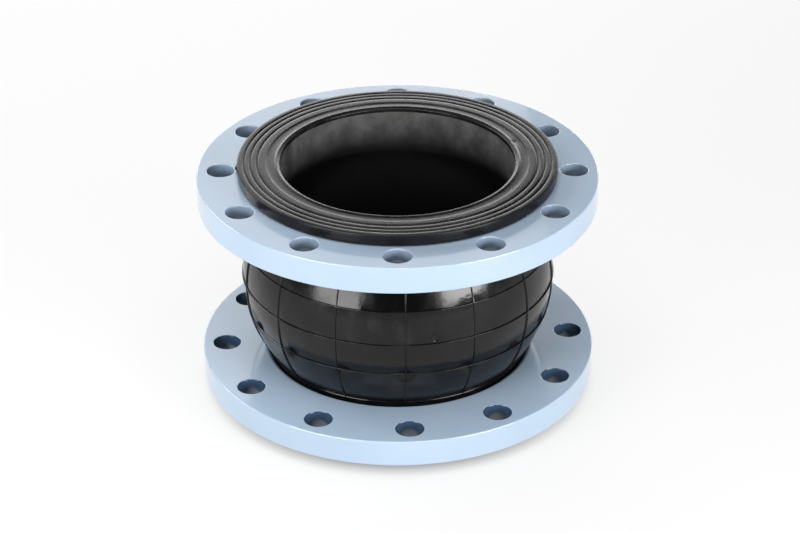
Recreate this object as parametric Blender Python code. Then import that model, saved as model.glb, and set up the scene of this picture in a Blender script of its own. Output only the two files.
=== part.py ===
"""Single-arch rubber expansion joint, DN200, with two floating steel flanges.

The rubber body is a hollow arch. From the bore outwards its wall is an inner tube, two plies of
nylon cord and an outer cover. At each end the plies turn out under a steel bead hoop, the cover
hoods the hoop, and a sealing collar closes the end. Each flange is a loose ring, grooved to sit
on that bead, so it turns freely before it is bolted up. The joint stands on its lower sealing
face, with its axis along +Z and the origin at the centre of that face.
"""

import math

import bmesh
import bpy

MM = 0.001

# Overall sizes, in millimetres like every size below.
FACE_TO_FACE = 205.0
BORE_RADIUS = 98.0
ARCH_RISE = 21.6  # height of the arch over its neck, on the outer surface
ARCH_SETBACK = 1.4  # from a flange's inner face to where the arch would meet the neck
NECK_FILLET = 8.0

# The wall's layers, from the bore outwards.
TUBE_WALL = 3.8
PLY_WALL = 2.0
COVER_WALL = 3.2

# The ends: sealing collar, bead hoop and filler.
COLLAR_FLOOR = 4.0  # thickness of the collar under the plies
COLLAR_EDGE = 1.0
MOUTH_ROUND = 1.5
LIP_PROUD = 10.5  # how far the collar stands out of its flange
RIM_WIDTH = 8.2  # the collar's thick outer edge, which bears on the flange
BEAD_WIRE_RADIUS = 4.0
BEAD_BED = 0.5  # rubber left free round the hoop
FILLER_WIDTH = 6.0
TURN_RADIUS = 1.5  # inside radius of the plies' turn into the end
HOOD_CORNER = 2.0
HOOD_FILLET = 1.5  # between the neck and the top of the hood

# The flange, to the 1.6 MPa drilling for DN200: 335 mm across, on a 295 mm bolt circle.
FLANGE_THICKNESS = 23.0
FLANGE_CHAMFER = 1.0
FLANGE_BORE_ROUND = 5.0
GROOVE_CORNER = 1.0
THROAT_CHAMFER = 2.0  # between the flange's bore and its groove
BOLT_HOLE_RADIUS = 11.5
BOLT_COUNT = 12
COLLAR_TO_HOLES = 2.5
HOLES_TO_RIM = 8.5
LOWER_FLANGE_TURN = 3.7  # degrees that the lower flange is turned past the upper one

# Clearances.
GAP = 0.3  # between pieces that touch
FLANGE_BORE_CLEARANCE = 0.7  # from the neck to the flange
FLANGE_SIDE_CLEARANCE = 0.6  # from the bead to the flange's groove, round the outside
FLANGE_TOP_CLEARANCE = 0.4  # from the bead to the flange's groove, over the top

# How finely round shapes are cut.
RUBBER_STEPS = 32
FLANGE_STEPS = 48
HOLE_STEPS = 16
ARCH_STEPS = 6
FILLET_STEPS = 2
HOOP_SIDES = 8

# Depths of the layers under the rubber's outer surface.
OUTER_PLY_DEPTH = COVER_WALL + GAP
INNER_PLY_DEPTH = OUTER_PLY_DEPTH + PLY_WALL + GAP
TUBE_DEPTH = INNER_PLY_DEPTH + PLY_WALL + GAP
FULL_DEPTH = TUBE_DEPTH + TUBE_WALL

# The arch's meridian: an arc between the flanges, joined to each neck by a fillet.
MIDDLE = FACE_TO_FACE / 2
NECK_RADIUS = BORE_RADIUS + FULL_DEPTH
ARCH_HALF_WIDTH = MIDDLE - LIP_PROUD - FLANGE_THICKNESS - ARCH_SETBACK
ARCH_RADIUS = (ARCH_HALF_WIDTH**2 + ARCH_RISE**2) / (2 * ARCH_RISE)
ARCH_CENTRE = NECK_RADIUS + ARCH_RISE - ARCH_RADIUS
FILLET_CENTRE = NECK_RADIUS + NECK_FILLET
FILLET_DROP = math.sqrt((ARCH_RADIUS + NECK_FILLET) ** 2 - (FILLET_CENTRE - ARCH_CENTRE) ** 2)
FILLET_TURN = math.degrees(math.atan2(FILLET_DROP, FILLET_CENTRE - ARCH_CENTRE))

# Heights in an end, from its sealing face.
INNER_FOOT = COLLAR_FLOOR + GAP
OUTER_FOOT = INNER_FOOT + PLY_WALL + GAP
FOOT_TOP = OUTER_FOOT + PLY_WALL
HOOD_UNDER = FOOT_TOP + 2 * (BEAD_WIRE_RADIUS + BEAD_BED)
HOOD_TOP = HOOD_UNDER + COVER_WALL
RIM_TOP = LIP_PROUD - GAP
GROOVE_TOP = HOOD_TOP + FLANGE_TOP_CLEARANCE
FLANGE_FACE = LIP_PROUD + FLANGE_THICKNESS
TURN_HEIGHT = FOOT_TOP + TURN_RADIUS

# Radii in an end.
TURN_CENTRE = NECK_RADIUS - OUTER_PLY_DEPTH + TURN_RADIUS
FILLER_INSIDE = NECK_RADIUS - COVER_WALL + GAP
FILLER_OUTSIDE = FILLER_INSIDE + FILLER_WIDTH
HOOP_RADIUS = FILLER_OUTSIDE + GAP + BEAD_WIRE_RADIUS
HOOD_INSIDE = HOOP_RADIUS + BEAD_WIRE_RADIUS + BEAD_BED
HOOD_OUTSIDE = HOOD_INSIDE + COVER_WALL
RIM_INSIDE = HOOD_OUTSIDE + GAP
COLLAR_RADIUS = RIM_INSIDE + RIM_WIDTH
FLANGE_BORE = NECK_RADIUS + FLANGE_BORE_CLEARANCE
GROOVE_RADIUS = HOOD_OUTSIDE + FLANGE_SIDE_CLEARANCE
BOLT_CIRCLE_RADIUS = COLLAR_RADIUS + COLLAR_TO_HOLES + BOLT_HOLE_RADIUS
FLANGE_RADIUS = BOLT_CIRCLE_RADIUS + BOLT_HOLE_RADIUS + HOLES_TO_RIM


def arc(centre, radius, start, end, steps):
    """Points from the angle start to the angle end, in degrees from the outward direction."""
    points = []
    for step in range(steps + 1):
        angle = math.radians(start + (end - start) * step / steps)
        points.append((centre[0] + radius * math.cos(angle), centre[1] + radius * math.sin(angle)))
    return points


def both_ends(lower):
    """The lower half's points, and the same points mirrored above the middle."""
    return lower + [(radius, FACE_TO_FACE - height) for radius, height in reversed(lower)]


def arch(depth):
    """The arched wall, neck to neck, at a depth under its outer surface."""
    fillet_centre = (FILLET_CENTRE, MIDDLE - FILLET_DROP)
    fillet = arc(fillet_centre, NECK_FILLET + depth, 180, 180 - FILLET_TURN, FILLET_STEPS)
    half = arc((ARCH_CENTRE, MIDDLE), ARCH_RADIUS - depth, -FILLET_TURN, 0, ARCH_STEPS // 2)
    points = both_ends(fillet[:-1] + half)
    crown = points.index(half[-1])
    return points[: crown + 1] + points[crown + 2 :]


def turn(depth, end=270):
    """The plies' turn from an end into the neck, at a depth under the rubber's outer surface."""
    radius = TURN_RADIUS + depth - OUTER_PLY_DEPTH
    return arc((TURN_CENTRE, TURN_HEIGHT), radius, end, 180, FILLET_STEPS)


def mirrored_around(lower, wall):
    """A whole wall from end to end: the lower end's points, the arch, and the upper end's points."""
    points = both_ends(lower)
    return points[: len(lower)] + wall + points[len(lower) :]


def turned(name, outline, steps):
    """A ring: a closed outline of (radius, height) points, turned once about Z."""
    shape = bmesh.new()
    corners = [shape.verts.new((radius * MM, 0, height * MM)) for radius, height in outline]
    sides = [shape.edges.new(pair) for pair in zip(corners, corners[1:] + corners[:1])]
    bmesh.ops.spin(
        shape,
        geom=corners + sides,
        cent=(0, 0, 0),
        axis=(0, 0, 1),
        angle=math.tau,
        steps=steps,
        use_merge=True,
    )
    bmesh.ops.recalc_face_normals(shape, faces=shape.faces)
    mesh = bpy.data.meshes.new(name)
    shape.to_mesh(mesh)
    shape.free()
    mesh.shade_smooth()
    mesh.set_sharp_from_angle(angle=math.radians(35))
    return mesh


def outer_cover():
    """The weatherproof skin: a hood over each bead hoop, the necks and the arch."""
    corner = (HOOD_OUTSIDE - HOOD_CORNER, HOOD_TOP - HOOD_CORNER)
    fillet = (NECK_RADIUS + HOOD_FILLET, HOOD_TOP + HOOD_FILLET)
    outer_end = (
        [(HOOD_OUTSIDE, FOOT_TOP + GAP)]
        + arc(corner, HOOD_CORNER, 0, 90, FILLET_STEPS)
        + arc(fillet, HOOD_FILLET, 270, 180, FILLET_STEPS)
    )
    inner_end = [
        (HOOD_INSIDE, FOOT_TOP + GAP),
        (HOOD_INSIDE, HOOD_UNDER),
        (NECK_RADIUS - COVER_WALL, HOOD_UNDER),
    ]
    outside = mirrored_around(outer_end, arch(0))
    inside = mirrored_around(inner_end, arch(COVER_WALL))
    return turned("outer_cover", outside + inside[::-1], RUBBER_STEPS)


def cord_ply(name, depth):
    """One ply of bias-laid cord, turned out at both ends under the bead hoops."""
    foot_top = FOOT_TOP - (depth - OUTER_PLY_DEPTH)
    outer_end = [(HOOD_OUTSIDE, foot_top)] + turn(depth)
    inner_end = [(HOOD_OUTSIDE, foot_top - PLY_WALL)] + turn(depth + PLY_WALL)
    outside = mirrored_around(outer_end, arch(depth))
    inside = mirrored_around(inner_end, arch(depth + PLY_WALL))
    return turned(name, outside + inside[::-1], RUBBER_STEPS)


def inner_tube():
    """The liquid-tight lining, which flares a little where the plies turn out."""
    flare = turn(TUBE_DEPTH, end=225)
    outside = mirrored_around([(flare[0][0], INNER_FOOT)] + flare, arch(TUBE_DEPTH))
    inside = mirrored_around([(BORE_RADIUS, INNER_FOOT)], arch(FULL_DEPTH))
    return turned("inner_tube", outside + inside[::-1], RUBBER_STEPS)


def seal_collar():
    """The rubber end: a sealing face with a rounded mouth, and a thick rim round the bead."""
    mouth = (BORE_RADIUS + MOUTH_ROUND, MOUTH_ROUND)
    outline = arc(mouth, MOUTH_ROUND, 180, 270, FILLET_STEPS) + [
        (COLLAR_RADIUS - COLLAR_EDGE, 0),
        (COLLAR_RADIUS, COLLAR_EDGE),
        (COLLAR_RADIUS, RIM_TOP),
        (RIM_INSIDE, RIM_TOP),
        (RIM_INSIDE, COLLAR_FLOOR),
        (BORE_RADIUS, COLLAR_FLOOR),
    ]
    return turned("seal_collar", outline, RUBBER_STEPS)


def bead_ring():
    """The steel hoop that anchors the plies."""
    centre = (HOOP_RADIUS, FOOT_TOP + BEAD_BED + BEAD_WIRE_RADIUS)
    outline = arc(centre, BEAD_WIRE_RADIUS, 0, 360, HOOP_SIDES)[:-1]
    return turned("bead_ring", outline, RUBBER_STEPS)


def bead_filler():
    """The hard rubber strip between the neck and the hoop."""
    low = FOOT_TOP + GAP
    high = HOOD_UNDER - GAP
    outline = [
        (FILLER_INSIDE + TURN_RADIUS, low),
        (FILLER_OUTSIDE, low),
        (FILLER_OUTSIDE, high),
        (FILLER_INSIDE, high),
        (FILLER_INSIDE, low + TURN_RADIUS),
    ]
    return turned("bead_filler", outline, RUBBER_STEPS)


def flange_ring():
    """The flange before it is drilled, grooved on its pipe side for the bead."""
    outer = FLANGE_RADIUS - FLANGE_CHAMFER
    bore_round = (FLANGE_BORE + FLANGE_BORE_ROUND, FLANGE_FACE - FLANGE_BORE_ROUND)
    outline = (
        [
            (GROOVE_RADIUS, LIP_PROUD),
            (outer, LIP_PROUD),
            (FLANGE_RADIUS, LIP_PROUD + FLANGE_CHAMFER),
            (FLANGE_RADIUS, FLANGE_FACE - FLANGE_CHAMFER),
            (outer, FLANGE_FACE),
        ]
        + arc(bore_round, FLANGE_BORE_ROUND, 90, 180, FILLET_STEPS)
        + [
            (FLANGE_BORE, GROOVE_TOP + THROAT_CHAMFER),
            (FLANGE_BORE + THROAT_CHAMFER, GROOVE_TOP),
            (GROOVE_RADIUS - GROOVE_CORNER, GROOVE_TOP),
            (GROOVE_RADIUS, GROOVE_TOP - GROOVE_CORNER),
        ]
    )
    return turned("flange_ring", outline, FLANGE_STEPS)


def bolt_drills():
    """The cylinders that drill the bolt holes, one of them on +X."""
    shape = bmesh.new()
    for hole in range(BOLT_COUNT):
        angle = math.tau * hole / BOLT_COUNT
        drill = bmesh.ops.create_cone(
            shape,
            cap_ends=True,
            segments=HOLE_STEPS,
            radius1=BOLT_HOLE_RADIUS * MM,
            radius2=BOLT_HOLE_RADIUS * MM,
            depth=2 * FLANGE_THICKNESS * MM,
        )
        place = (
            BOLT_CIRCLE_RADIUS * math.cos(angle) * MM,
            BOLT_CIRCLE_RADIUS * math.sin(angle) * MM,
            (LIP_PROUD + FLANGE_THICKNESS / 2) * MM,
        )
        bmesh.ops.translate(shape, verts=drill["verts"], vec=place)
    mesh = bpy.data.meshes.new("bolt_drills")
    shape.to_mesh(mesh)
    shape.free()
    return mesh


def material(name, colour, roughness, metallic):
    """A plain finish for one kind of piece."""
    finish = bpy.data.materials.new(name)
    finish.use_nodes = True
    shader = finish.node_tree.nodes["Principled BSDF"]
    shader.inputs["Base Color"].default_value = (*colour, 1)
    shader.inputs["Roughness"].default_value = roughness
    shader.inputs["Metallic"].default_value = metallic
    return finish


def frame(name, height, parent=None):
    """An empty on the joint's axis, which carries a group of pieces that move together."""
    empty = bpy.data.objects.new(name, None)
    bpy.context.scene.collection.objects.link(empty)
    empty.parent = parent
    empty.location.z = (height - (frame_height[parent.name] if parent else 0)) * MM
    frame_height[name] = height
    return empty


def piece(name, mesh, finish, parent, upper=False, turned_by=0):
    """A named piece on its frame. An upper piece is a lower one's shape, stood on its head."""
    obj = bpy.data.objects.new(name, mesh)
    bpy.context.scene.collection.objects.link(obj)
    if not mesh.materials:
        mesh.materials.append(finish)
    obj.parent = parent
    obj.location.z = ((FACE_TO_FACE if upper else 0) - frame_height[parent.name]) * MM
    obj.rotation_euler = (math.pi if upper else 0, 0, math.radians(turned_by))
    return obj


def drill(flange, drills):
    """Cuts the bolt holes through a flange."""
    cutter = bpy.data.objects.new(flange.name + "_drills", drills)
    bpy.context.scene.collection.objects.link(cutter)
    cutter.parent = flange
    cutter.hide_render = True
    cutter.display_type = "WIRE"
    cut = flange.modifiers.new("bolt_holes", "BOOLEAN")
    cut.operation = "DIFFERENCE"
    cut.object = cutter


for old in list(bpy.data.objects):
    bpy.data.objects.remove(old)

frame_height = {}
lower_end = frame("lower_end", 0)
lining = frame("lining", MIDDLE, lower_end)
casing = frame("casing", MIDDLE, lining)
upper_end = frame("upper_end", MIDDLE, casing)

rubber = material("black_rubber", (0.016, 0.016, 0.018), 0.42, 0)
cord = material("nylon_cord", (0.42, 0.38, 0.30), 0.8, 0)
steel = material("bead_steel", (0.45, 0.44, 0.43), 0.35, 1)
paint = material("blue_enamel", (0.46, 0.60, 0.78), 0.25, 0)

piece("inner_tube", inner_tube(), rubber, lining)
piece("inner_cord_ply", cord_ply("inner_cord_ply", INNER_PLY_DEPTH), cord, lining)
piece("outer_cord_ply", cord_ply("outer_cord_ply", OUTER_PLY_DEPTH), cord, casing)
piece("outer_cover", outer_cover(), rubber, casing)

end_pieces = (
    ("seal_collar", seal_collar(), rubber),
    ("bead_ring", bead_ring(), steel),
    ("bead_filler", bead_filler(), rubber),
)
for name, mesh, finish in end_pieces:
    piece("lower_" + name, mesh, finish, lower_end)
    piece("upper_" + name, mesh, finish, upper_end, upper=True)

ring = flange_ring()
drills = bolt_drills()
drill(piece("lower_flange", ring, paint, lower_end, turned_by=LOWER_FLANGE_TURN), drills)
drill(piece("upper_flange", ring, paint, upper_end, upper=True), drills)
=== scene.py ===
"""The looks of a DN200 rubber expansion joint: moulded rubber, cord, bead wire and enamelled flanges.

Sizes are in millimetres and angles in degrees, measured from +X, unless a line says otherwise. An
end's heights are measured from its own sealing face, so both ends are made from the same numbers.
"""

import math

import bmesh
import bpy
from mathutils import Matrix, Vector


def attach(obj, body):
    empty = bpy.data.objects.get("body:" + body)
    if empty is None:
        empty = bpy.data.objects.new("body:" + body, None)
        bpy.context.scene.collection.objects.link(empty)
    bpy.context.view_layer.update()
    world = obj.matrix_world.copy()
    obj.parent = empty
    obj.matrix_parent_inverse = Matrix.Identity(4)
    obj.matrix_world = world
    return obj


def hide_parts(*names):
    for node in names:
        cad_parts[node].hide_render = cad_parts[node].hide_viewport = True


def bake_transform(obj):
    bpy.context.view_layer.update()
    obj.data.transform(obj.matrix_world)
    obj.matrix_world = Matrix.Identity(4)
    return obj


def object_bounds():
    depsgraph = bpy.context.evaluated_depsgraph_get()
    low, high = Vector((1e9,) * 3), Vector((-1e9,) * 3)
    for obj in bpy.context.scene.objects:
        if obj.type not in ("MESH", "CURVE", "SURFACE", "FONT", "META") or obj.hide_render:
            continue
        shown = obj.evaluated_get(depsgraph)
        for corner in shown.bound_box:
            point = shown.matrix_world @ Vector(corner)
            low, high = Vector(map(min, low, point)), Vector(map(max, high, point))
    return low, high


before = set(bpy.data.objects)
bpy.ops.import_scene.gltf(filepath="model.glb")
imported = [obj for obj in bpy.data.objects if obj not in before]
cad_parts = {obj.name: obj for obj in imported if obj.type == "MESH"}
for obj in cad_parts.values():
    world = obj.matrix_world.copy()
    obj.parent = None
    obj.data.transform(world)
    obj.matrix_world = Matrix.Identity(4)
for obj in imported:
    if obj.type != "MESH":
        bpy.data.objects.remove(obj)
cad_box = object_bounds()

MM = 0.001


def ring_of(node):
    """A round CAD piece's bore radius, outer radius, lowest height and highest height."""
    points = [vertex.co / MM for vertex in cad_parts[node].data.vertices]
    radii = [math.hypot(point.x, point.y) for point in points]
    heights = [point.z for point in points]
    return min(radii), max(radii), min(heights), max(heights)


# Read from the frame.
BORE, COLLAR_RADIUS, _, RIM_TOP = ring_of("lower_seal_collar")
FLANGE_BORE, FLANGE_RADIUS, LIP_PROUD, FLANGE_FACE = ring_of("lower_flange")
COVER_BORE, ARCH_CREST, HOOD_FOOT, _ = ring_of("outer_cover")
_, _, PLY_FOOT, _ = ring_of("outer_cord_ply")
_, _, INNER_PLY_FOOT, _ = ring_of("inner_cord_ply")
_, _, TUBE_FOOT, _ = ring_of("inner_tube")
HOOP_INSIDE, HOOP_OUTSIDE, HOOP_FOOT, HOOP_TOP = ring_of("lower_bead_ring")
FILLER_INSIDE, FILLER_OUTSIDE, FILLER_FOOT, FILLER_TOP = ring_of("lower_bead_filler")
FACE_TO_FACE = (cad_box[1].z - cad_box[0].z) / MM
MIDDLE = FACE_TO_FACE / 2

# The wall, whose layers all follow one meridian.
COVER_WALL = 3.2
PLY_WALL = 2.0
LAYER_GAP = 0.3
NECK_FILLET = 8.0
ARCH_SETBACK = 1.4
NECK = COVER_BORE + COVER_WALL
ARCH_RISE = ARCH_CREST - NECK
ARCH_HALF_WIDTH = MIDDLE - FLANGE_FACE - ARCH_SETBACK
ARCH_RADIUS = (ARCH_HALF_WIDTH**2 + ARCH_RISE**2) / (2 * ARCH_RISE)
ARCH_CENTRE = ARCH_CREST - ARCH_RADIUS
FILLET_CENTRE = NECK + NECK_FILLET
FILLET_DROP = math.sqrt((ARCH_RADIUS + NECK_FILLET) ** 2 - (FILLET_CENTRE - ARCH_CENTRE) ** 2)
FILLET_TURN = math.degrees(math.atan2(FILLET_DROP, FILLET_CENTRE - ARCH_CENTRE))
ARCH_FOOT = MIDDLE - ARCH_RADIUS * math.sin(math.radians(FILLET_TURN))

# The ends of the wall.
HOOD_INSIDE = 121.8
HOOD_OUTSIDE = 125.0
HOOD_CORNER = 2.0
HOOD_FILLET = 1.5
BEAD_BED = 0.5  # rubber over the bead hoop, under the cover
HOOD_TOP = HOOP_TOP + BEAD_BED + COVER_WALL
TURN_RADIUS = 1.5
TUBE_SEAM = 0.03  # between the lining's foot and the collar
STRIP_ROUND = 0.6
STRAND_GAP = 0.03

# Where the wall's bands meet, and where the wall starts and stops to bend with them.
BEND_FOOT = 31.0
BEND_TOP = 173.0
BAND_JOINTS = (74.6, 103.6)

# The moulded ribs of the arch.
RIB_COUNT = 14
RIB_START = -87.1
RING_PITCH = 29.0
RIB_RINGS = (ARCH_FOOT, MIDDLE - RING_PITCH, MIDDLE, MIDDLE + RING_PITCH, FACE_TO_FACE - ARCH_FOOT)
RIB_HALF_WIDTH = 0.75
RIB_LAYERS = ((0.18, 0.6), (0.2, 0.38), (0.17, 0.12))  # inset and rise of each step up a rib's flank
STEPS_PER_PANEL = 16

# The flange. The bolt circle and the bolt hole are given as radii.
BOLT_CIRCLE = 147.5
BOLT_HOLE = 11.5
BOLT_COUNT = 12
LOWER_TURN = 3.7  # how far the lower flange is turned past the upper one
EDGE_ROUND = 1.1
BORE_ROUND = 5.0
HOLE_ROUND = 1.0
SIDE_CLEARANCE = 0.6
TOP_CLEARANCE = 0.4
GROOVE_RADIUS = HOOD_OUTSIDE + SIDE_CLEARANCE
GROOVE_TOP = HOOD_TOP + TOP_CLEARANCE
GROOVE_CORNER = 1.0
GROOVE_MOUTH_ROUND = 0.5
THROAT = 2.0

# What the mould left behind, by azimuth: a torn tag of flash on the rim, a nick in the mouth's lip, and
# a blank round plug mark on the cover. The tag's foot and top are depths under the sealing face.
TAG_AZIMUTH = 180.0
TAG_WIDTH = 2.4
TAG_REACH = 3.0
TAG_FOOT = 9.6
TAG_TOP = 4.0
NICK_AZIMUTH = 18.2
NICK_WIDTH = 2.6
NICK_RADII = (100.6, 104.0)
NICK_DEPTH = 0.55
PLUG_AZIMUTH = -76.5
PLUG_HEIGHT = 108.0
PLUG_RADIUS = 3.6
PLUG_RISE = 0.35
PLUG_RIM = 0.5

# The sealing face: three narrow grooves, then a step down to the mouth's raised lip.
SEAL_GROOVES = (128.0, 122.8, 116.9)
GROOVE_HALF_WIDTH = 0.62
SHOULDER = 0.3  # rounding between a groove and the lands beside it
LAND_CROWN = 0.12
STEP_RADIUS = 109.4
STEP_DEPTH = 0.8
STEP_ROUND = 0.6
LIP_FOOT = 103.6
LIP_CREST = 101.0
LIP_ROUND = 0.9
MOUTH_STEP = 99.4
MOUTH_ROUND = 1.4

# The rest of the collar.
COLLAR_EDGE = 0.9
COLLAR_BACK = 3.98
RIM_ROUND = 1.6

# How finely round shapes are turned.
RUBBER_STEPS = 256
TUBE_STEPS = 192
PLY_STEPS = 112
FLANGE_STEPS = 240
HOLE_STEPS = 56

# The studio, in metres unless a line says otherwise.
TABLE_REACH = 6.0
PAINTED_SHADOW_EDGE = (0.135, 0.172)  # the edge of the painted shadow under the object: how far out the table starts to glow, and where it glows fully
VIEW_FROM = (0.0019, -1.876, 1.1546)
VIEW_AT = (0.0019, 0, 0.1023)
VIEW_ROLL = -0.15  # in degrees
LENS = 113.6  # focal length in millimetres

# Turns a material's metres into millimetres.
IN_MM = 1000


# Shapes


def arc(centre, radius, start, end, steps):
    """Points from the angle start to the angle end, measured from the outward direction."""
    points = []
    for step in range(steps + 1):
        angle = math.radians(start + (end - start) * step / steps)
        points.append((centre[0] + radius * math.cos(angle), centre[1] + radius * math.sin(angle)))
    return points


def both_ends(lower):
    """The lower half's points, and the same points mirrored above the middle."""
    return lower + [(radius, FACE_TO_FACE - height) for radius, height in reversed(lower)]


def arch(depth, stops, steps):
    """The arched wall at a depth under its outer surface, with a point at each stop's height."""
    fillet_centre = (FILLET_CENTRE, MIDDLE - FILLET_DROP)
    fillet = arc(fillet_centre, NECK_FILLET + depth, 180, 180 - FILLET_TURN, 6)
    turns = [-FILLET_TURN, 0]
    turns += [math.degrees(math.asin((stop - MIDDLE) / ARCH_RADIUS)) for stop in stops]
    half = []
    for start, end in zip(sorted(turns), sorted(turns)[1:]):
        half += arc((ARCH_CENTRE, MIDDLE), ARCH_RADIUS - depth, start, end, steps)[:-1]
    half.append((ARCH_CREST - depth, MIDDLE))
    points = both_ends(fillet[:-1] + half)
    crown = points.index(half[-1])
    return points[: crown + 1] + points[crown + 2 :]


def placed(name, shape, finish, crease=38):
    """A new piece from a bmesh, shaded smooth between its creases."""
    mesh = bpy.data.meshes.new(name)
    shape.to_mesh(mesh)
    shape.free()
    mesh.shade_smooth()
    mesh.set_sharp_from_angle(angle=math.radians(crease))
    mesh.materials.append(finish)
    piece = bpy.data.objects.new(name, mesh)
    bpy.context.scene.collection.objects.link(piece)
    return piece


def spin_once(shape, outline, steps):
    """Turns an outline, a list of its points and sides, once about Z."""
    bmesh.ops.spin(
        shape,
        geom=outline,
        cent=(0, 0, 0),
        axis=(0, 0, 1),
        angle=math.tau,
        steps=steps,
        use_merge=True,
    )


def turned(outline, steps, start=0.0, upper=False):
    """A ring: a closed outline of (radius, height) points, turned once about Z."""
    shape = bmesh.new()
    angle = math.radians(start)
    corners = []
    for radius, height in outline:
        height = FACE_TO_FACE - height if upper else height
        place = (radius * math.cos(angle), radius * math.sin(angle), height)
        corners.append(shape.verts.new(Vector(place) * MM))
    sides = [shape.edges.new(pair) for pair in zip(corners, corners[1:] + corners[:1])]
    spin_once(shape, corners + sides, steps)
    bmesh.ops.recalc_face_normals(shape, faces=shape.faces)
    return shape


def radius_at(vertex):
    """How far a point lies from the axis, in millimetres."""
    return math.hypot(vertex.co.x, vertex.co.y) / MM


def settle(piece):
    """Applies a piece's modifiers to its mesh."""
    graph = bpy.context.evaluated_depsgraph_get()
    mesh = bpy.data.meshes.new_from_object(piece.evaluated_get(graph))
    piece.modifiers.clear()
    piece.data = mesh


def keep_rest(piece):
    """Stores where each point lies at rest, so that a pattern stays on rubber that bends."""
    attribute = piece.data.attributes.new("rest", "FLOAT_VECTOR", "POINT")
    for point, vertex in zip(attribute.data, piece.data.vertices):
        point.vector = vertex.co


# Materials


class Wire:
    """A socket in a material. Sums written with it add their Math nodes."""

    def __init__(self, finish, socket):
        self.finish = finish
        self.socket = socket

    def maths(self, operation, *values):
        return self.finish.node("Math", {"operation": operation}, dict(enumerate((self, *values))))

    def __add__(self, other):
        return self.maths("ADD", other)

    def __mul__(self, other):
        return self.maths("MULTIPLY", other)

    def __sub__(self, other):
        return self.maths("SUBTRACT", other)

    def __rsub__(self, other):
        return self.finish.node("Math", {"operation": "SUBTRACT"}, {0: other, 1: self})

    __radd__ = __add__
    __rmul__ = __mul__

    def between(self, low, high):
        """0 below low, 1 above high, and smooth between them."""
        values = {"Value": self, "From Min": low, "From Max": high}
        return self.finish.node("MapRange", {"interpolation_type": "SMOOTHSTEP"}, values)


class Finish:
    """A material under construction."""

    def __init__(self, name):
        self.material = bpy.data.materials.new(name)
        self.material.use_nodes = True
        self.tree = self.material.node_tree
        self.shader = self.tree.nodes["Principled BSDF"]

    def node(self, kind, settings=None, values=None, output=0):
        """Adds a node. Its settings come first, then its sockets' values or links."""
        made = self.tree.nodes.new("ShaderNode" + kind)
        for name, value in (settings or {}).items():
            setattr(made, name, value)
        for name, value in (values or {}).items():
            self.put(made, name, value)
        return Wire(self, made.outputs[output])

    def put(self, made, name, value):
        if isinstance(value, Wire):
            self.tree.links.new(value.socket, made.inputs[name])
        else:
            made.inputs[name].default_value = value

    def surface(self, **values):
        for name, value in values.items():
            self.put(self.shader, name.replace("_", " "), value)
        return self.material

    def place(self, follows=False):
        """Where a point lies, in metres. On rubber that bends, where it lies at rest."""
        if follows:
            return self.node("Attribute", {"attribute_name": "rest"}, output="Vector")
        return self.node("TexCoord", output="Object")

    def split(self, place):
        """The X, Y and Z of a place."""
        return [self.node("SeparateXYZ", values={0: place}, output=axis) for axis in range(3)]

    def around(self, place):
        """The place as radius, turns about Z, and height, for patterns that run round the axis."""
        x, y, z = self.split(place)
        radius = (x * x + y * y).maths("SQRT")
        turns = y.maths("ARCTAN2", x) * (1 / math.tau)
        return radius, turns, z

    def join(self, x, y, z):
        return self.node("CombineXYZ", values={0: x, 1: y, 2: z})

    def noise(self, place, scale, detail=2.0, roughness=0.5):
        values = {"Vector": place, "Scale": scale, "Detail": detail, "Roughness": roughness}
        return self.node("TexNoise", values=values)

    def mix(self, share, first, second):
        """A colour between two colours."""
        first = (*first, 1) if isinstance(first, tuple) else first
        second = (*second, 1) if isinstance(second, tuple) else second
        return self.node("Mix", {"data_type": "RGBA"}, {0: share, 6: first, 7: second}, output=2)

    def bump(self, height, distance, under=None):
        """A relief. Its distance is in millimetres."""
        values = {"Height": height, "Distance": distance * MM, "Strength": 1.0}
        if under:
            values["Normal"] = under
        return self.node("Bump", values=values)


def enamel(name, turned_by):
    """Light blue gloss enamel, sprayed over a turned steel face. Inside the bolt holes it carries
    painted shade, darker the deeper it goes.
    """
    finish = Finish(name)
    place = finish.place()
    radius, turns, height = finish.around(place)
    cloud = finish.noise(place, 14, 3)
    marks = finish.noise(finish.join(radius * 900, turns * 5, height * 40), 1.0, 3, 0.6)
    peel = finish.noise(place, 420, 2)
    colour = finish.mix(cloud.between(0.3, 0.7), (0.285, 0.367, 0.465), (0.305, 0.388, 0.485))
    speck = finish.noise(place, 1300, 1).between(0.74, 0.8) * 0.25
    colour = finish.mix(speck, colour, (0.22, 0.30, 0.42))
    # Painted shade in the bolt holes: their walls turn dark blue, more so deeper under the face.
    holes = (turns - turned_by / 360) * BOLT_COUNT
    aside = (holes - holes.maths("ROUND")) * (math.tau / BOLT_COUNT)
    out = radius * aside.maths("COSINE") * IN_MM - BOLT_CIRCLE
    along = radius * aside.maths("SINE") * IN_MM
    reach = (out * out + along * along).maths("SQRT")
    from_middle = (height * IN_MM - MIDDLE).maths("ABSOLUTE")
    sunk = (MIDDLE - LIP_PROUD - from_middle).between(3, 15)
    inside = 1 - reach.between(BOLT_HOLE + 0.3, BOLT_HOLE + 0.6)
    colour = finish.mix(inside * (sunk * 0.75 + 0.2), colour, (0.015, 0.04, 0.085))
    relief = finish.bump(marks, 0.012)
    relief = finish.bump(peel, 0.02, relief)
    return finish.surface(
        Base_Color=colour,
        Roughness=cloud * 0.04 + marks * 0.05 + 0.13,
        Specular_IOR_Level=0.5,
        IOR=1.55,
        Coat_Weight=0.5,
        Coat_Roughness=0.04,
        Normal=relief,
    )


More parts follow.
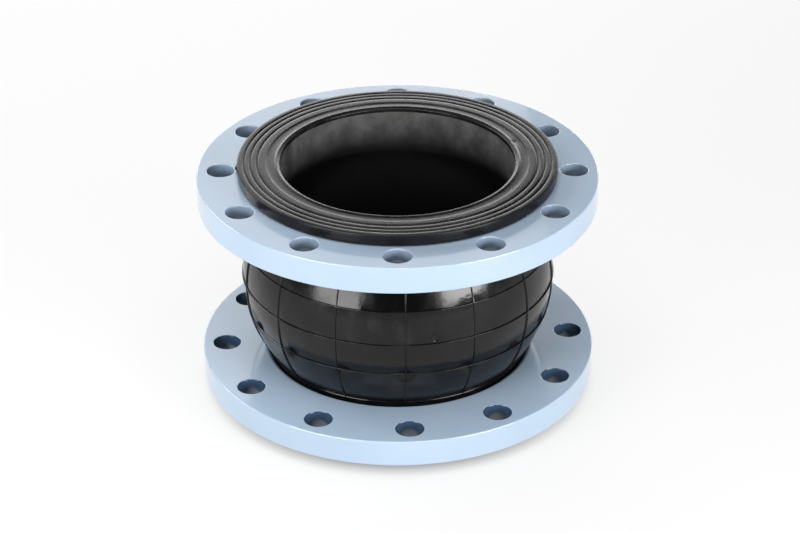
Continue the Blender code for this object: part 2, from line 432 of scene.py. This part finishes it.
def moulded_rubber():
    """Black cover rubber out of a polished mould, with dull patches and flow marks."""
    finish = Finish("black_cover_rubber")
    place = finish.place(follows=True)
    radius, turns, height = finish.around(place)
    patches = finish.noise(place, 32, 6, 0.62)
    wisps = finish.noise(finish.join(turns * 60, height * 40, radius * 40), 1.0, 5, 0.7)
    grain = finish.noise(place, 900, 2)
    dents = finish.noise(place, 85, 3, 0.55)
    dull = patches.between(0.35, 0.65)
    bloom = dull * wisps.between(0.45, 0.75)
    colour = finish.mix(bloom, (0.002, 0.002, 0.0022), (0.01, 0.01, 0.0105))
    relief = finish.bump(dents, 0.2)
    relief = finish.bump(grain, 0.012, relief)
    return finish.surface(
        Base_Color=colour,
        Roughness=dull * 0.12 + wisps * 0.07 + 0.06,
        Specular_IOR_Level=0.27,
        IOR=1.52,
        Normal=relief,
    )


def collar_rubber():
    """Greyer rubber of the sealing ends, with streaks that run round the face."""
    finish = Finish("grey_black_collar_rubber")
    place = finish.place()
    radius, turns, height = finish.around(place)
    streaks = finish.noise(finish.join(radius * 1100, turns * 30, height * 300), 1.0, 4, 0.6)
    patches = finish.noise(place, 45, 5, 0.6)
    grain = finish.noise(place, 1100, 2)
    colour = finish.mix(patches.between(0.3, 0.7), (0.004, 0.004, 0.0043), (0.009, 0.009, 0.0094))
    colour = finish.mix(streaks.between(0.5, 0.8) * 0.4, colour, (0.035, 0.035, 0.036))
    wall = (radius * IN_MM).between(COLLAR_RADIUS - COLLAR_EDGE, COLLAR_RADIUS - 0.2)
    colour = finish.mix(wall, colour, (0.006, 0.006, 0.007))
    relief = finish.bump(streaks, 0.1)
    relief = finish.bump(grain, 0.03, relief)
    return finish.surface(
        Base_Color=colour,
        Roughness=streaks * 0.16 + patches * 0.1 + 0.14,
        Specular_IOR_Level=0.2,
        IOR=1.5,
        Normal=relief,
    )


def tube_rubber():
    """The lining's black rubber, matt, with grey bloom in soft blotches. The bloom is kept to the upper
    neck, as painted light where light falls into the mouth, and fades to plain black below it.
    """
    finish = Finish("black_lining_rubber")
    place = finish.place(follows=True)
    radius, turns, height = finish.around(place)
    blotches = finish.noise(place, 38, 6, 0.65)
    runs = finish.noise(finish.join(turns * 34, height * 14, 0.0), 1.0, 5, 0.65)
    grain = finish.noise(place, 700, 3)
    bloom = blotches.between(0.3, 0.8) * 0.5 + runs.between(0.4, 0.9) * 0.25 + 0.25
    # Painted light: the grey bloom shows only above 158 mm, fully from 192 mm, where light reaches into
    # the upper mouth.
    bloom = bloom * (height * IN_MM).between(158, 192)
    colour = finish.mix(bloom, (0.002, 0.002, 0.002), (0.15, 0.148, 0.146))
    relief = finish.bump(blotches, 0.2)
    relief = finish.bump(grain, 0.03, relief)
    return finish.surface(
        Base_Color=colour,
        Roughness=blotches * 0.16 + 0.27,
        Specular_IOR_Level=0.7,
        Normal=relief,
    )


def cord_fabric(name, slant):
    """Nylon cords side by side on the bias, half sunk in skim rubber."""
    finish = Finish(name)
    place = finish.place(follows=True)
    radius, turns, height = finish.around(place)
    across = (turns * 430 + height * (slant * 640)) * math.tau
    cords = across.maths("SINE") * 0.5 + 0.5
    wander = finish.noise(place, 240, 3)
    colour = finish.mix(cords.between(0.25, 0.75), (0.05, 0.045, 0.04), (0.44, 0.39, 0.31))
    colour = finish.mix(wander * 0.5, colour, (0.30, 0.26, 0.20))
    relief = finish.bump(cords, 0.5)
    relief = finish.bump(wander, 0.05, relief)
    return finish.surface(Base_Color=colour, Roughness=wander * 0.2 + 0.65, Normal=relief)


def hoop_wire():
    """Bright drawn bead wire, with fine marks along it."""
    finish = Finish("bronzed_bead_wire")
    place = finish.place()
    radius, turns, height = finish.around(place)
    marks = finish.noise(finish.join(radius * 2600, turns * 14, height * 2600), 1.0, 3)
    tarnish = finish.noise(place, 60, 4)
    colour = finish.mix(tarnish.between(0.4, 0.7), (0.50, 0.47, 0.42), (0.36, 0.29, 0.20))
    relief = finish.bump(marks, 0.03)
    return finish.surface(Base_Color=colour, Metallic=1.0, Roughness=marks * 0.2 + 0.2, Normal=relief)


def filler_rubber():
    """Hard black apex rubber, with the ridges of its extruder die."""
    finish = Finish("hard_filler_rubber")
    place = finish.place()
    radius, turns, height = finish.around(place)
    lines = finish.noise(finish.join(radius * 1500, turns * 4, height * 1500), 1.0, 3)
    patches = finish.noise(place, 70, 4)
    colour = finish.mix(patches, (0.014, 0.014, 0.014), (0.04, 0.04, 0.04))
    relief = finish.bump(lines, 0.08)
    return finish.surface(Base_Color=colour, Roughness=patches * 0.2 + 0.45, Normal=relief)


enamels = {
    "lower": enamel("lower_flange_enamel", LOWER_TURN),
    "upper": enamel("upper_flange_enamel", 0.0),
}
cover_rubber = moulded_rubber()
face_rubber = collar_rubber()
lining_rubber = tube_rubber()
outer_cords = cord_fabric("nylon_cord_right_bias", 1)
inner_cords = cord_fabric("nylon_cord_left_bias", -1)
bead_wire = hoop_wire()
apex_rubber = filler_rubber()


# The flanges


def hole_cutters():
    """One cutter for each bolt hole. It flares at both faces, and so rounds the hole's edges."""
    shape = bmesh.new()
    sink = 0.04
    low = (BOLT_HOLE + HOLE_ROUND, LIP_PROUD + HOLE_ROUND - sink)
    high = (BOLT_HOLE + HOLE_ROUND, FLANGE_FACE - HOLE_ROUND + sink)
    wall = arc(low, HOLE_ROUND, 270, 180, 5) + arc(high, HOLE_ROUND, 180, 90, 5)
    past = 3.0
    outline = [(0, LIP_PROUD - past), (low[0], LIP_PROUD - past)] + wall
    outline += [(high[0], FLANGE_FACE + past), (0, FLANGE_FACE + past)]
    for hole in range(BOLT_COUNT):
        corners = [shape.verts.new((radius * MM, 0, height * MM)) for radius, height in outline]
        sides = [shape.edges.new(pair) for pair in zip(corners, corners[1:])]
        before = set(shape.verts) - set(corners)
        spin_once(shape, corners + sides, HOLE_STEPS)
        spool = [vertex for vertex in shape.verts if vertex not in before]
        bmesh.ops.remove_doubles(shape, verts=spool, dist=0.01 * MM)
        spool = [vertex for vertex in shape.verts if vertex not in before]
        angle = math.tau * hole / BOLT_COUNT
        place = Vector((math.cos(angle), math.sin(angle), 0)) * BOLT_CIRCLE * MM
        bmesh.ops.translate(shape, verts=spool, vec=place)
    bmesh.ops.recalc_face_normals(shape, faces=shape.faces)
    return placed("hole_cutters", shape, enamels["upper"])


def flange(name, cutters, upper, turned_by):
    """A drilled ring with rounded edges, grooved on its pipe side for the bead."""
    outer = FLANGE_RADIUS - EDGE_ROUND
    mouth = (GROOVE_RADIUS + GROOVE_MOUTH_ROUND, LIP_PROUD + GROOVE_MOUTH_ROUND)
    outline = arc(mouth, GROOVE_MOUTH_ROUND, 180, 270, 3)
    outline += arc((outer, LIP_PROUD + EDGE_ROUND), EDGE_ROUND, 270, 360, 5)
    outline += arc((outer, FLANGE_FACE - EDGE_ROUND), EDGE_ROUND, 0, 90, 5)
    bore_round = (FLANGE_BORE + BORE_ROUND, FLANGE_FACE - BORE_ROUND)
    outline += arc(bore_round, BORE_ROUND, 90, 180, 8)
    outline += [
        (FLANGE_BORE, GROOVE_TOP + THROAT),
        (FLANGE_BORE + THROAT, GROOVE_TOP),
        (GROOVE_RADIUS - GROOVE_CORNER, GROOVE_TOP),
        (GROOVE_RADIUS, GROOVE_TOP - GROOVE_CORNER),
    ]
    piece = placed(name, turned(outline, FLANGE_STEPS), enamels["upper" if upper else "lower"])
    cut = piece.modifiers.new("bolt_holes", "BOOLEAN")
    cut.operation = "DIFFERENCE"
    cut.object = cutters
    flat = piece.modifiers.new("flat_faces", "WEIGHTED_NORMAL")
    flat.keep_sharp = True
    settle(piece)
    if upper:
        stand = Matrix.Translation((0, 0, FACE_TO_FACE * MM)) @ Matrix.Rotation(math.pi, 4, "X")
        piece.data.transform(stand)
    piece.data.transform(Matrix.Rotation(math.radians(turned_by), 4, "Z"))
    return piece


cutters = hole_cutters()
for end, turned_by in (("lower", LOWER_TURN), ("upper", 0.0)):
    ring = flange(end + "_flange_enamelled", cutters, end == "upper", turned_by)
    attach(ring, end + "_flange")
    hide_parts(end + "_flange")
bpy.data.objects.remove(cutters)


# The sealing collars


def seal_face():
    """The sealing face from the mouth outwards, as (radius, height) points."""
    points = arc((BORE + MOUTH_ROUND, STEP_DEPTH + 1.2), MOUTH_ROUND, 180, 262, 5)
    points += [(MOUTH_STEP + 0.1, STEP_DEPTH - 0.2), (MOUTH_STEP + 0.35, 0.3)]
    points += arc((LIP_CREST, LIP_ROUND), LIP_ROUND, 225, 300, 6)
    points += [(LIP_FOOT - 0.7, STEP_DEPTH - 0.12), (LIP_FOOT, STEP_DEPTH)]
    points += [((LIP_FOOT + STEP_RADIUS) / 2, STEP_DEPTH - 0.1), (STEP_RADIUS - 0.7, STEP_DEPTH)]
    land_start = STEP_RADIUS + 0.5
    points += arc((land_start, STEP_ROUND), STEP_ROUND, 180, 270, 4)
    edge = 0.05
    for groove in sorted(SEAL_GROOVES) + [None]:
        land_end = COLLAR_RADIUS - COLLAR_EDGE
        if groove is not None:
            land_end = groove - GROOVE_HALF_WIDTH - SHOULDER
        width = land_end - land_start
        for share in (0.25, 0.5, 0.75):
            crown = LAND_CROWN * (1 - 4 * (share - 0.5) ** 2)
            points.append((land_start + width * share, LAND_CROWN - crown))
        if groove is None:
            break
        half_way = LAND_CROWN + SHOULDER / 2
        points += [(land_end, LAND_CROWN), (land_end + SHOULDER - edge, half_way)]
        points += arc((groove, LAND_CROWN + SHOULDER + edge), GROOVE_HALF_WIDTH, 180, 0, 6)
        points += [(groove + GROOVE_HALF_WIDTH + edge, half_way)]
        land_start = groove + GROOVE_HALF_WIDTH + SHOULDER
        points.append((land_start, LAND_CROWN))
    return points


def swell(share):
    """1 in the middle of a span, falling smoothly to 0 at its ends."""
    return math.cos(min(abs(share), 1.0) * math.pi / 2) ** 2


def scar(shape):
    """Pulls out the torn tag on the rim and presses in the nick on the mouth's lip."""
    for vertex in shape.verts:
        azimuth = math.degrees(math.atan2(vertex.co.y, vertex.co.x)) % 360
        depth = FACE_TO_FACE - vertex.co.z / MM
        radius = radius_at(vertex)
        if radius > COLLAR_RADIUS - 0.05 and depth > TAG_TOP and abs(azimuth - TAG_AZIMUTH) < TAG_WIDTH:
            low = (depth - TAG_TOP) / (TAG_FOOT - TAG_TOP)
            reach = TAG_REACH * swell((azimuth - TAG_AZIMUTH) / TAG_WIDTH) * min(low, 1.0)
            vertex.co.xy *= (radius + reach) / radius
        if NICK_RADII[0] < radius < NICK_RADII[1] and abs(azimuth - NICK_AZIMUTH) < NICK_WIDTH:
            vertex.co.z -= NICK_DEPTH * swell((azimuth - NICK_AZIMUTH) / NICK_WIDTH) * MM


def collar(name, upper):
    """The rubber end: sealing face, mouth, and the thick rim that bears on the flange."""
    edge = (COLLAR_RADIUS - COLLAR_EDGE, LAND_CROWN + COLLAR_EDGE)
    outline = [(BORE, COLLAR_BACK)] + seal_face() + arc(edge, COLLAR_EDGE, 270, 360, 4)
    outline += [(COLLAR_RADIUS, TAG_TOP), (COLLAR_RADIUS, (TAG_TOP + RIM_TOP) / 2)]
    outline += arc((COLLAR_RADIUS - RIM_ROUND, RIM_TOP - RIM_ROUND), RIM_ROUND, 0, 90, 4)
    rim_inside = HOOD_OUTSIDE + LAYER_GAP
    outline += [(rim_inside, RIM_TOP), (rim_inside, COLLAR_BACK)]
    shape = turned(outline, RUBBER_STEPS, upper=upper)
    if upper:
        scar(shape)
    return placed(name, shape, face_rubber, crease=50)


for end in ("lower", "upper"):
    face = collar(end + "_seal_face", end == "upper")
    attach(face, end + "_end")
    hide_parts(end + "_seal_collar")


# The wall: cover, plies and tube, each in three bands


def hood_inside():
    """The cover's inside at an end, square round the bead hoop."""
    roof = HOOD_TOP - COVER_WALL
    return [(HOOD_INSIDE, HOOD_FOOT), (HOOD_INSIDE, roof), (COVER_BORE, roof)]


def hood_outside():
    """The cover's outside at an end, from its foot over the bead hoop to the neck."""
    corner = (HOOD_OUTSIDE - HOOD_CORNER, HOOD_TOP - HOOD_CORNER)
    fillet = (NECK + HOOD_FILLET, HOOD_TOP + HOOD_FILLET)
    points = [(HOOD_OUTSIDE, HOOD_FOOT)] + arc(corner, HOOD_CORNER, 0, 90, 4)
    return points + arc(fillet, HOOD_FILLET, 270, 180, 4)


def around_wall(lower, wall):
    """A whole wall from end to end: the lower end's points, the arch, and the upper end's points."""
    points = both_ends(lower)
    return points[: len(lower)] + wall + points[len(lower) :]


def raise_ribs(shape):
    """Raises the ring ribs and the meridian ribs out of the arch's outer face."""
    panel = math.tau / RIB_COUNT
    outside = set()
    for vertex in shape.verts:
        level = abs(vertex.co.z / MM - MIDDLE)
        bulge = ARCH_CENTRE + math.sqrt(ARCH_RADIUS**2 - level**2)
        if level < MIDDLE - ARCH_FOOT + 0.1 and radius_at(vertex) > bulge - 0.5:
            outside.add(vertex)
    edges = []
    for edge in shape.edges:
        first, last = edge.verts
        if first not in outside or last not in outside:
            continue
        low, high = sorted((first.co.z / MM, last.co.z / MM))
        if high - low < 0.01:
            if min(abs(low - ring) for ring in RIB_RINGS) < 0.05:
                edges.append(edge)
            continue
        turn = math.atan2(first.co.y, first.co.x) - math.radians(RIB_START)
        if abs(turn / panel - round(turn / panel)) < 0.002:
            edges.append(edge)
    made = bmesh.ops.bevel(
        shape,
        geom=edges,
        offset=RIB_HALF_WIDTH * MM,
        offset_type="OFFSET",
        affect="EDGES",
        segments=1,
        profile=0.5,
        material=-1,
        clamp_overlap=False,
    )
    for inset, rise in RIB_LAYERS:
        bmesh.ops.inset_region(
            shape,
            faces=made["faces"],
            thickness=inset * MM,
            depth=rise * MM,
            use_even_offset=True,
            use_boundary=True,
        )


def cover_shell():
    """The cover, with a row of points under each ring rib and each meridian rib."""
    outside = around_wall(hood_outside(), arch(0, [RIB_RINGS[1]], 5))
    inside = around_wall(hood_inside(), arch(COVER_WALL, [], 8))
    shape = turned(outside + inside[::-1], RIB_COUNT * STEPS_PER_PANEL, RIB_START)
    raise_ribs(shape)
    return shape


def ply_shell(foot, depth):
    """A cord ply, turned out at both ends under the bead hoops."""
    centre = (NECK - COVER_WALL - LAYER_GAP + TURN_RADIUS, PLY_FOOT + PLY_WALL + TURN_RADIUS)
    near = TURN_RADIUS + depth - COVER_WALL - LAYER_GAP
    outer_end = [(HOOD_OUTSIDE, foot + PLY_WALL)] + arc(centre, near, 270, 180, 4)
    inner_end = [(HOOD_OUTSIDE, foot)] + arc(centre, near + PLY_WALL, 270, 180, 4)
    outside = around_wall(outer_end, arch(depth, [], 10))
    inside = around_wall(inner_end, arch(depth + PLY_WALL, [], 10))
    return turned(outside + inside[::-1], PLY_STEPS)


def tube_shell():
    """The lining, which flares a little where the plies turn out."""
    depth = COVER_WALL + 2 * PLY_WALL + 3 * LAYER_GAP
    centre = (NECK - COVER_WALL - LAYER_GAP + TURN_RADIUS, PLY_FOOT + PLY_WALL + TURN_RADIUS)
    flare = arc(centre, TURN_RADIUS + depth - COVER_WALL - LAYER_GAP, 225, 180, 3)
    foot = TUBE_FOOT - LAYER_GAP + TUBE_SEAM
    outside = around_wall([(flare[0][0], foot)] + flare, arch(depth, [], 10))
    inside = around_wall([(BORE, foot)], arch(NECK - BORE, [], 12))
    return turned(outside + inside[::-1], TUBE_STEPS)


def bands(name, shell, finish, node):
    """Cuts a wall into three closed bands."""
    heights = (None, *BAND_JOINTS, None)
    bends = (
        ("lower_end", "lining", BEND_FOOT, BAND_JOINTS[0]),
        ("lining", "casing", *BAND_JOINTS),
        ("casing", "upper_end", BAND_JOINTS[1], BEND_TOP),
    )
    names = ("_lower_band", "_middle_band", "_upper_band")
    for place, low, high, (below, above, start, end) in zip(names, heights, heights[1:], bends):
        shape = shell.copy()
        for height, side in ((low, -1), (high, 1)):
            if height is None:
                continue
            cut = bmesh.ops.bisect_plane(
                shape,
                geom=[*shape.verts, *shape.edges, *shape.faces],
                dist=0.001 * MM,
                plane_co=(0, 0, height * MM),
                plane_no=(0, 0, side),
                clear_outer=True,
            )
            rim = [part for part in cut["geom_cut"] if isinstance(part, bmesh.types.BMEdge)]
            bmesh.ops.triangle_fill(shape, use_beauty=True, edges=rim)
        bmesh.ops.recalc_face_normals(shape, faces=shape.faces)
        piece = placed(name + place, shape, finish, crease=42)
        keep_rest(piece)
        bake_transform(piece)
        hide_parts(node)
    shell.free()


def plug_mark():
    """A low blank disc with a raised rim, which lies against the arch."""
    shape = bmesh.new()
    radius = PLUG_RADIUS * MM
    bmesh.ops.create_cone(
        shape,
        cap_ends=True,
        segments=40,
        radius1=radius,
        radius2=radius - PLUG_RISE * MM / 2,
        depth=2 * PLUG_RISE * MM,
    )
    top = [face for face in shape.faces if face.normal.z > 0.9]
    bmesh.ops.inset_individual(shape, faces=top, thickness=PLUG_RIM * MM)
    bmesh.ops.translate(shape, verts=top[0].verts, vec=(0, 0, -PLUG_RISE * MM * 0.6))
    rise = math.asin((PLUG_HEIGHT - MIDDLE) / ARCH_RADIUS)
    stand = Matrix.Rotation(math.radians(PLUG_AZIMUTH), 4, "Z")
    stand @= Matrix.Translation((ARCH_CENTRE * MM, 0, MIDDLE * MM))
    stand @= Matrix.Rotation(math.pi / 2 - rise, 4, "Y")
    stand @= Matrix.Translation((0, 0, ARCH_RADIUS * MM))
    shape.transform(stand)
    piece = placed("cover_plug_mark", shape, cover_rubber, crease=42)
    keep_rest(piece)
    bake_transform(piece)
    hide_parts("outer_cover")


bands("cover", cover_shell(), cover_rubber, "outer_cover")
plug_mark()
outer_depth = COVER_WALL + LAYER_GAP
inner_depth = outer_depth + PLY_WALL + LAYER_GAP
bands("outer_ply", ply_shell(PLY_FOOT, outer_depth), outer_cords, "outer_cord_ply")
bands("inner_ply", ply_shell(INNER_PLY_FOOT, inner_depth), inner_cords, "inner_cord_ply")
bands("tube", tube_shell(), lining_rubber, "inner_tube")


# What anchors the plies


def wound_hoop(name, upper):
    """Seven strands of bead wire laid as one hoop: one in the middle and six round it."""
    centre = ((HOOP_INSIDE + HOOP_OUTSIDE) / 2, (HOOP_FOOT + HOOP_TOP) / 2)
    strand = (HOOP_TOP - HOOP_FOOT) / 6 - 0.02
    shape = bmesh.new()
    for place in range(7):
        reach = 0 if place == 6 else 2 * strand + STRAND_GAP
        turn = math.radians(60 * place)
        middle = (centre[0] + reach * math.cos(turn), centre[1] + reach * math.sin(turn))
        outline = arc(middle, strand, 0, 360, 12)[:-1]
        part = turned(outline, RUBBER_STEPS, upper=upper)
        mesh = bpy.data.meshes.new("strand")
        part.to_mesh(mesh)
        part.free()
        shape.from_mesh(mesh)
        bpy.data.meshes.remove(mesh)
    return placed(name, shape, bead_wire)


def apex_strip(name, upper):
    """The hard rubber strip between the neck and the hoop, with rounded corners."""
    low, high = FILLER_FOOT, FILLER_TOP
    outline = arc((FILLER_OUTSIDE - STRIP_ROUND, low + STRIP_ROUND), STRIP_ROUND, 270, 360, 3)
    outline += arc((FILLER_OUTSIDE - STRIP_ROUND, high - STRIP_ROUND), STRIP_ROUND, 0, 90, 3)
    outline += arc((FILLER_INSIDE + STRIP_ROUND, high - STRIP_ROUND), STRIP_ROUND, 90, 180, 3)
    outline += arc((FILLER_INSIDE + TURN_RADIUS, low + TURN_RADIUS), TURN_RADIUS, 180, 270, 4)
    return placed(name, turned(outline, RUBBER_STEPS, upper=upper), apex_rubber)


for end in ("lower", "upper"):
    hoop = wound_hoop(end + "_bead_hoop", end == "upper")
    strip = apex_strip(end + "_apex_strip", end == "upper")
    for piece, node, slot in (
        (hoop, "_bead_ring", "bead_steel"),
        (strip, "_bead_filler", "filler_rubber"),
    ):
        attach(piece, end + "_end")
        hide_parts(end + node)


# The studio


def glowing_table_painted_shadow():
    """White acrylic with a little painted glow, which stands in for light from below. The glow is left
    off under the object as a painted shadow, so its edges stay white.
    """
    finish = Finish("white_glowing_table_painted_shadow")
    radius, turns, height = finish.around(finish.place())
    # Painted shadow under the object: no glow there, full glow from just past the flange's edge.
    glow = finish.mix(radius.between(*PAINTED_SHADOW_EDGE), (0.0, 0.0, 0.0), (1.0, 1.0, 1.0))
    return finish.surface(
        Base_Color=(0.15, 0.15, 0.15, 1),
        Roughness=0.7,
        Specular_IOR_Level=0.2,
        Emission_Color=glow,
        Emission_Strength=0.73,
    )


def studio_floor():
    """The table's top, which is the whole floor."""
    shape = bmesh.new()
    bmesh.ops.create_grid(shape, x_segments=1, y_segments=1, size=TABLE_REACH)
    piece = placed("studio_floor", shape, glowing_table_painted_shadow())


def softbox(name, azimuth, elevation, distance, width, height, power):
    """A rectangular soft light that points at the object. Distance, width and height are in metres."""
    light = bpy.data.lights.new(name, "AREA")
    light.shape = "RECTANGLE"
    light.size = width
    light.size_y = height
    light.energy = power
    lamp = bpy.data.objects.new(name, light)
    bpy.context.scene.collection.objects.link(lamp)
    turn, rise = math.radians(azimuth), math.radians(elevation)
    target = Vector((0, 0, MIDDLE * MM))
    away = Vector((math.cos(rise) * math.cos(turn), math.cos(rise) * math.sin(turn), math.sin(rise)))
    lamp.location = target + away * distance
    lamp.rotation_euler = away.to_track_quat("Z", "Y").to_euler()


def camera():
    """A long lens, looking down at the front of the object."""
    lens = bpy.data.cameras.new("camera")
    lens.lens = LENS
    lens.sensor_width = 36
    lens.clip_end = 30
    view = bpy.data.objects.new("camera", lens)
    bpy.context.scene.collection.objects.link(view)
    view.location = VIEW_FROM
    aim = (view.location - Vector(VIEW_AT)).to_track_quat("Z", "Y")
    roll = Matrix.Rotation(math.radians(VIEW_ROLL), 3, "Z")
    view.rotation_euler = (aim.to_matrix() @ roll).to_euler()
    bpy.context.scene.camera = view


studio_floor()
camera()
softbox("left_softbox", -132, 14, 0.95, 0.56, 0.46, 9)
softbox("right_softbox", -43, 13, 1.2, 0.7, 0.4, 17)
softbox("left_back_softbox", 152, 34, 1.5, 0.8, 0.5, 9)
softbox("back_softbox", 106, 35, 1.9, 1.4, 0.7, 3.6)
softbox("white_backdrop", 90, 15, 2.0, 2.6, 0.65, 23)
softbox("overhead_softbox", -90, 72, 1.5, 1.0, 1.0, 15)

world = bpy.data.worlds.new("studio")
bpy.context.scene.world = world
world.use_nodes = True
world.node_tree.nodes["Background"].inputs["Color"].default_value = (0.93, 0.965, 1.0, 1)
world.node_tree.nodes["Background"].inputs["Strength"].default_value = 0.04
bpy.context.scene.view_settings.view_transform = "Standard"
